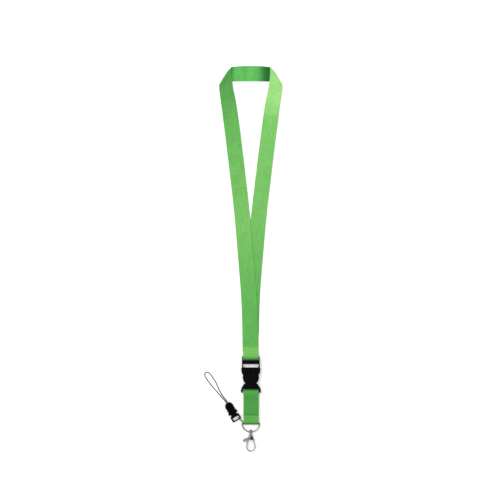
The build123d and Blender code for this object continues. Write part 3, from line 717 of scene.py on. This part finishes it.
def neck_painted_shading(facts):
    """Slow changes of tone along the neck ribbon, from the left leg's end to the flap: painted light and
    shade on its colour.
    """
    middle, end = facts["middle"], facts["tone_end"]
    left_fold = middle - facts["left_neck"] - crease_jump / 2
    right_fold = middle + facts["right_neck"] + crease_jump / 2
    return [
        (0.0, green_with_painted_shading["left_join"]),
        (60 * mm, green_with_painted_shading["left_join"]),
        (170 * mm, green_with_painted_shading["leg_low"]),
        (left_fold - 80 * mm, green_with_painted_shading["leg_high"]),
        (left_fold - 25 * mm, green_with_painted_shading["left_fold"]),
        (left_fold, green_with_painted_shading["left_fold"]),
        (middle - 25 * mm, green_with_painted_shading["neck_shade"]),
        (middle - 18 * mm, green_with_painted_shading["neck_left"]),
        (middle - 12 * mm, green_with_painted_shading["neck_left"]),
        (middle - 8 * mm, green_with_painted_shading["neck_middle"]),
        (middle - 1 * mm, green_with_painted_shading["neck_light"]),
        (middle + 6 * mm, green_with_painted_shading["neck_middle"]),
        (middle + 9 * mm, green_with_painted_shading["neck_middle"]),
        (middle + 17 * mm, green_with_painted_shading["neck_right"]),
        (right_fold - 2 * mm, green_with_painted_shading["neck_right"]),
        (right_fold, green_with_painted_shading["right_fold"]),
        (right_fold + 45 * mm, green_with_painted_shading["right_fold"]),
        (right_fold + 75 * mm, green_with_painted_shading["right_high"]),
        (right_fold + 200 * mm, green_with_painted_shading["right_low"]),
        (end - 60 * mm, green_with_painted_shading["join"]),
        (end - 24 * mm, green_with_painted_shading["join"]),
        (end - 20 * mm, green_with_painted_shading["bar"]),
        (end - 15.6 * mm, green_with_painted_shading["bar"]),
        (end - 13 * mm, green_with_painted_shading["flap"]),
        (end, green_with_painted_shading["flap"]),
    ]


neck_cloth, neck_facts = make_neck_ribbon()
neck_fabric = ribbon_material("neck_fabric", neck_facts["tone_end"], neck_painted_shading(neck_facts))
finish_piece(neck_cloth, "neck", neck_fabric, ["neck_ribbon"])
print("neck ribbon length (mm):", round(neck_facts["length"] / mm, 1))


# ================= lower strap =================
strap_bar = joint_place("lower_strap_swing")
strap_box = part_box("lower_strap")
strap_middle_x = (strap_box[0].x + strap_box[1].x) / 2
ring_loop_r = 1.52 * mm
lower_flap_top = -202.3 * mm
lower_flap_middle_z = ring_bar.z + 1.32 * mm
lower_flap_z = lower_flap_middle_z + ribbon_thick / 2
strap_middle_y = -191 * mm
creases_y = -193 * mm
creases_reach = 7 * mm
creases_high = 0.10 * mm


def lower_strap_line():
    """The lower strap in side view.

    It runs from the flap round the ring's bar, up the back, round the buckle's bar and down the front.
    """
    flap_z = lower_flap_middle_z
    middle_z = strap_bar.z + 0.15 * mm
    flap = [(lower_flap_top, flap_z), (-206.8 * mm, flap_z), (-209.6 * mm, flap_z + 0.10 * mm)]
    ring_turn = arc_points((ring_bar.y, ring_bar.z), ring_loop_r, 78, 275)
    back = [
        (-206.6 * mm, ring_bar.z - 0.42 * mm),
        (strap_middle_y, ring_bar.z - 0.45 * mm),
        (-177 * mm, middle_z - 0.42 * mm),
    ]
    bar_turn = arc_points((strap_bar.y, strap_bar.z), bar_loop_r, -88, 88)
    front = [
        (-177 * mm, middle_z + 0.42 * mm),
        (strap_middle_y, ring_bar.z + 0.39 * mm),
        (-208.6 * mm, ring_bar.z + 0.45 * mm),
    ]
    return soften(np.array(flap + ring_turn + back + bar_turn + front), 1.4 * mm)


def make_lower_strap():
    """The doubled strap between the buckle and the ring, as one ribbon."""
    side_view = lower_strap_line()
    length = along_line(side_view)[-1]
    along = stations(length, [(0, length)])
    line = resample(side_view, along)
    across = across_steps(ribbon_half_width, column_step)
    grid = np.zeros((len(along), len(across), 3))
    grid[..., 0] = strap_middle_x + across[None, :]
    grid[..., 1] = line[:, None, 0]
    grid[..., 2] = line[:, None, 1]
    curl = 0.12 * mm * (across[None, :] / ribbon_half_width) ** 2
    slant = (grid[..., 1] - strap_middle_y) + 0.7 * grid[..., 0]
    creased = np.exp(-(((grid[..., 1] - creases_y) / creases_reach) ** 2))
    creases = creases_high * np.sin(slant / (1.9 * mm)) * creased
    free = smooth_step((13 * mm - np.abs(grid[..., 1] - strap_middle_y)) / (8 * mm))
    grid[..., 2] += (curl + creases) * free
    return thick_cloth("lower_strap_cloth", grid, across, ribbon_thick)


lower_cloth, lower_length = make_lower_strap()
# The lower strap's colour with painted light and shade: darker bands at its turns and where its end lies
# under the flap, lighter on the flap and in a band by the buckle's bar.
lower_green = from_display(79, 166, 71)
lower_flap_painted_light = from_display(96, 181, 81)
lower_shade = from_display(34, 104, 36)
lower_end_painted_shade = from_display(60, 140, 58)
lower_tones = [
    (0.0, lower_flap_painted_light),
    (9 * mm, lower_flap_painted_light),
    (12 * mm, lower_shade),
    (17 * mm, lower_shade),
    (22 * mm, lower_green),
    (lower_length - 41 * mm, lower_green),
    (lower_length - 39 * mm, lower_shade),
    (lower_length - 37 * mm, lower_flap_painted_light),
    (lower_length - 30 * mm, lower_green),
    (lower_length - 8 * mm, lower_green),
    (lower_length - 6.3 * mm, lower_end_painted_shade),
    (lower_length, lower_end_painted_shade),
]
lower_fabric = ribbon_material("lower_fabric", lower_length, lower_tones)
finish_piece(lower_cloth, "lower_strap", lower_fabric, ["lower_strap"])
print("lower strap length (mm):", round(lower_length / mm, 1))


# ================= threads and cords =================
def tube(line, outline, sides):
    """Points and faces of a closed tube along a line.

    outline gives the tube's radius from the distance along it and the angle round it.
    """
    run = unit(np.gradient(line, axis=0))
    frames = [unit(np.cross(run[0], (0.3, 0.2, 1.0)))]  # no line here starts along this
    for step in run[1:]:
        frames.append(unit(frames[-1] - step * np.dot(frames[-1], step)))
    frames = np.array(frames)
    beside = np.cross(run, frames)
    angle = np.linspace(0, 2 * pi, sides, endpoint=False)
    reach = outline(along_line(line)[:, None], angle[None, :])[..., None]
    ring = frames[:, None] * np.cos(angle)[None, :, None] + beside[:, None] * np.sin(angle)[None, :, None]
    points = (line[:, None] + reach * ring).reshape(-1, 3)
    faces = []
    for row in range(len(line) - 1):
        for side in range(sides):
            a, b = row * sides + side, row * sides + (side + 1) % sides
            faces.append((a, b, b + sides, a + sides))
    faces.append(tuple(range(sides))[::-1])
    faces.append(tuple(range(len(points) - sides, len(points))))
    return points, faces


def plied(radius, strands, pitch):
    """The outline of strands twisted together, each of fine yarns twisted the other way."""
    strand_r = 0.62 * radius
    centre_r = 0.40 * radius

    def outline(travelled, angle):
        """The radius at a distance along the tube and an angle round it."""
        turned = angle - 2 * pi * travelled / pitch
        within = (turned * strands / (2 * pi) + 0.5) % 1 - 0.5
        off = within * 2 * pi / strands
        lobes = centre_r * np.cos(off) + np.sqrt(strand_r**2 - (centre_r * np.sin(off)) ** 2)
        yarns = np.cos(14 * within + 2 * pi * travelled / (0.22 * pitch))
        return lobes + 0.035 * radius * yarns

    return outline


def join_shapes(shapes):
    """Several (points, faces) as one."""
    points, faces = [], []
    for some_points, some_faces in shapes:
        start = sum(len(p) for p in points)
        points.append(some_points)
        faces += [tuple(i + start for i in face) for face in some_faces]
    return np.concatenate(points), faces


def route_line(name, route):
    """Points of the NURBS line that a route's control points give."""
    curve = bpy.data.curves.new(name, "CURVE")
    curve.dimensions = "3D"
    curve.resolution_u = 36
    spline = curve.splines.new("NURBS")
    spline.points.add(len(route) - 1)
    for point, place in zip(spline.points, route):
        point.co = (*place, 1)
    spline.order_u = 3
    spline.use_endpoint_u = True
    holder = bpy.data.objects.new(name, curve)
    mesh = bpy.data.meshes.new_from_object(holder)
    line = np.array([v.co for v in mesh.vertices])
    bpy.data.objects.remove(holder)
    bpy.data.curves.remove(curve)
    bpy.data.meshes.remove(mesh)
    return line


phone_line = route_line("phone_route", phone_route)
phone_twist = plied(phone_cord_d / 2, 3, 3.4 * mm)
phone_cord = mesh_object("phone_cord_twist", *tube(phone_line, phone_twist, 30))

tether_line = route_line("tether_route", tether_route)
tether = mesh_object("tether_twist", *tube(tether_line, plied(0.48 * tether_d, 2, 1.8 * mm), 24))


knot_scale = 0.22 * mm
knot_thread_r = 0.42 * mm


def make_knot():
    """A small overhand knot, pulled tight."""
    turn = np.linspace(0, 2 * pi, 121)
    knot_x = np.sin(turn) + 2 * np.sin(2 * turn)
    knot_y = -1.5 * np.sin(3 * turn)
    knot_z = np.cos(turn) - 2 * np.cos(2 * turn)
    loops = np.stack([knot_x, knot_y, knot_z], axis=1)
    line = np.array(on_surface(*knot_place)) + knot_scale * loops
    return mesh_object("tether_knot_turns", *tube(line, plied(knot_thread_r, 2, 1.6 * mm), 18))


tether_knot = make_knot()


stitch_r = 0.17 * mm
stitch_length = 1.6 * mm
stitch_step = 2.125 * mm
stitches_in_row = 9
rows_in_seam = 2
neck_row_step = 2.7 * mm
lower_row_step = 3.0 * mm


def stitch(start):
    """One stitch: a short thread that comes up out of the cloth and goes back in."""
    t = np.linspace(0, 1, 15)
    height = -0.16 * mm + 0.30 * mm * np.sin(pi * t) ** 0.5
    line = np.stack([start[0] + stitch_length * t, start[1] + 0 * t, start[2] + height], axis=1)
    return tube(line, plied(stitch_r, 2, 0.8 * mm), 10)


def stitch_rows(name, box, surface_z, row_step):
    """Rows of stitches along x from a box's low corner, as one mesh."""
    low = box[0]
    shapes = []
    for row in range(rows_in_seam):
        for k in range(stitches_in_row):
            start = (low.x + k * stitch_step - 0.05 * mm, low.y + stitch_r + row * row_step, surface_z)
            shapes.append(stitch(start))
    return mesh_object(name, *join_shapes(shapes))


# ================= painted CAD nodes, and the threads as pieces =================
def paint(material, *names):
    """Gives CAD nodes a material through their own slots."""
    for name in names:
        obj = frame["nodes"][name]
        if not obj.material_slots:
            obj.data.materials.append(material)
        for holder in obj.material_slots:
            holder.material = material


hook_pocket_z = joint_place("hook_swivel").z - 0.5 * mm
buckle_plastic = plastic_material("buckle_plastic", 0.40)
small_plastic = plastic_material("small_plastic", 0.30)
nickel = metal_material("nickel_plate", (0.36, 0.355, 0.345), 0.14, 0.28)
satin_nickel = metal_material("satin_nickel", (0.60, 0.595, 0.585), 0.36, 0.52)
hook_metal = metal_material("hook_nickel", (0.56, 0.555, 0.545), 0.34, 0.50, hook_pocket_z)
steel = metal_material("rivet_steel", (0.56, 0.55, 0.53), 0.22, 0.36)
green_thread = thread_material("green_thread", from_display(150, 222, 126), 0.2)
dark_thread = thread_material("dark_thread", from_display(16, 16, 17), 0.1)
cord_fibre = thread_material("cord_fibre", from_display(17, 17, 19), 0.1)
paint(buckle_plastic, "male_buckle_base", "left_latch_arm", "right_latch_arm", "female_buckle")
paint(small_plastic, "mini_male_base", "mini_left_arm", "mini_right_arm", "mini_female_head")
paint(nickel, "d_ring", "swivel_eye")
paint(satin_nickel, "hook_gate")
paint(hook_metal, "hook_body")
paint(steel, "gate_rivet", "gate_spring")
neck_seam = stitch_rows("neck_seam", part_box("neck_stitching"), neck_flap_z, neck_row_step)
lower_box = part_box("lower_strap_stitching")
lower_seam = stitch_rows("lower_strap_seam", lower_box, lower_flap_z, lower_row_step)
finish_piece(neck_seam, "neck", green_thread, ["neck_stitching"])
finish_piece(lower_seam, "lower_strap", green_thread, ["lower_strap_stitching"])
finish_piece(phone_cord, "mini_female", cord_fibre, ["phone_cord"])
finish_piece(tether, "tether", dark_thread, ["tether_cord"])
finish_piece(tether_knot, "tether", dark_thread, ["tether_knot"])
paint(cord_fibre, "phone_cord_knot")


# ================= floor and light =================
def add_floor():
    """A plain white table top."""
    half = 3.0
    corners = [(-half, -half, 0), (half, -half, 0), (half, half, 0), (-half, half, 0)]
    floor = mesh_object("floor", corners, [(0, 1, 2, 3)], smooth=False)
    floor.location.z = -0.05 * mm  # just below the lanyard's underside
    material, tree, shader = start_material("floor_white", Roughness=0.85, Emission_Strength=0.33)
    shader.inputs["Emission Color"].default_value = (1, 1, 1, 1)
    solid = node(tree, "ShaderNodeTexCoord").outputs["Object"]
    shade = ramp(tree, noise(tree, solid, 6, 2), [(0.0, grey(0.90)), (1.0, grey(0.93))])
    tree.links.new(shade, shader.inputs["Base Color"])
    floor.data.materials.append(material)


def add_softbox(name, place, target, size, watts):
    """A square area light at place, turned to target."""
    data = bpy.data.lights.new(name, "AREA")
    data.shape = "SQUARE"
    data.size = size
    data.energy = watts
    lamp = bpy.data.objects.new(name, data)
    lamp.location = place
    lamp.rotation_euler = (Vector(target) - Vector(place)).to_track_quat("-Z", "Y").to_euler()
    bpy.context.scene.collection.objects.link(lamp)


def set_studio():
    """The light from all round: dark low down, a bright band above that, and dim straight overhead."""
    world = bpy.data.worlds.new("studio")
    bpy.context.scene.world = world
    world.use_nodes = True
    tree = world.node_tree
    way = node(tree, "ShaderNodeTexCoord").outputs["Generated"]
    parts = node(tree, "ShaderNodeSeparateXYZ", {"Vector": way})
    stops = [(0.0, grey(0.45)), (0.12, grey(0.10)), (0.34, grey(0.12)), (0.52, grey(1.0)), (0.82, grey(0.9))]
    stops += [(0.94, grey(0.35)), (1.0, grey(0.14))]
    height = ramp(tree, maths(tree, "ABSOLUTE", parts.outputs["Z"]), stops)
    strength = spread(tree, parts.outputs["X"], -1.0, 1.0, 0.95, 0.6)
    background = tree.nodes["Background"]
    tree.links.new(height, background.inputs["Color"])
    tree.links.new(strength, background.inputs["Strength"])


add_floor()
set_studio()
add_softbox("key", (-0.9, 0.7, 1.6), (0, 0, 0), 1.4, 19)
add_softbox("fill", (1.1, -0.2, 1.3), (0, 0, 0), 1.2, 5.5)
bpy.context.scene.view_settings.view_transform = "Standard"
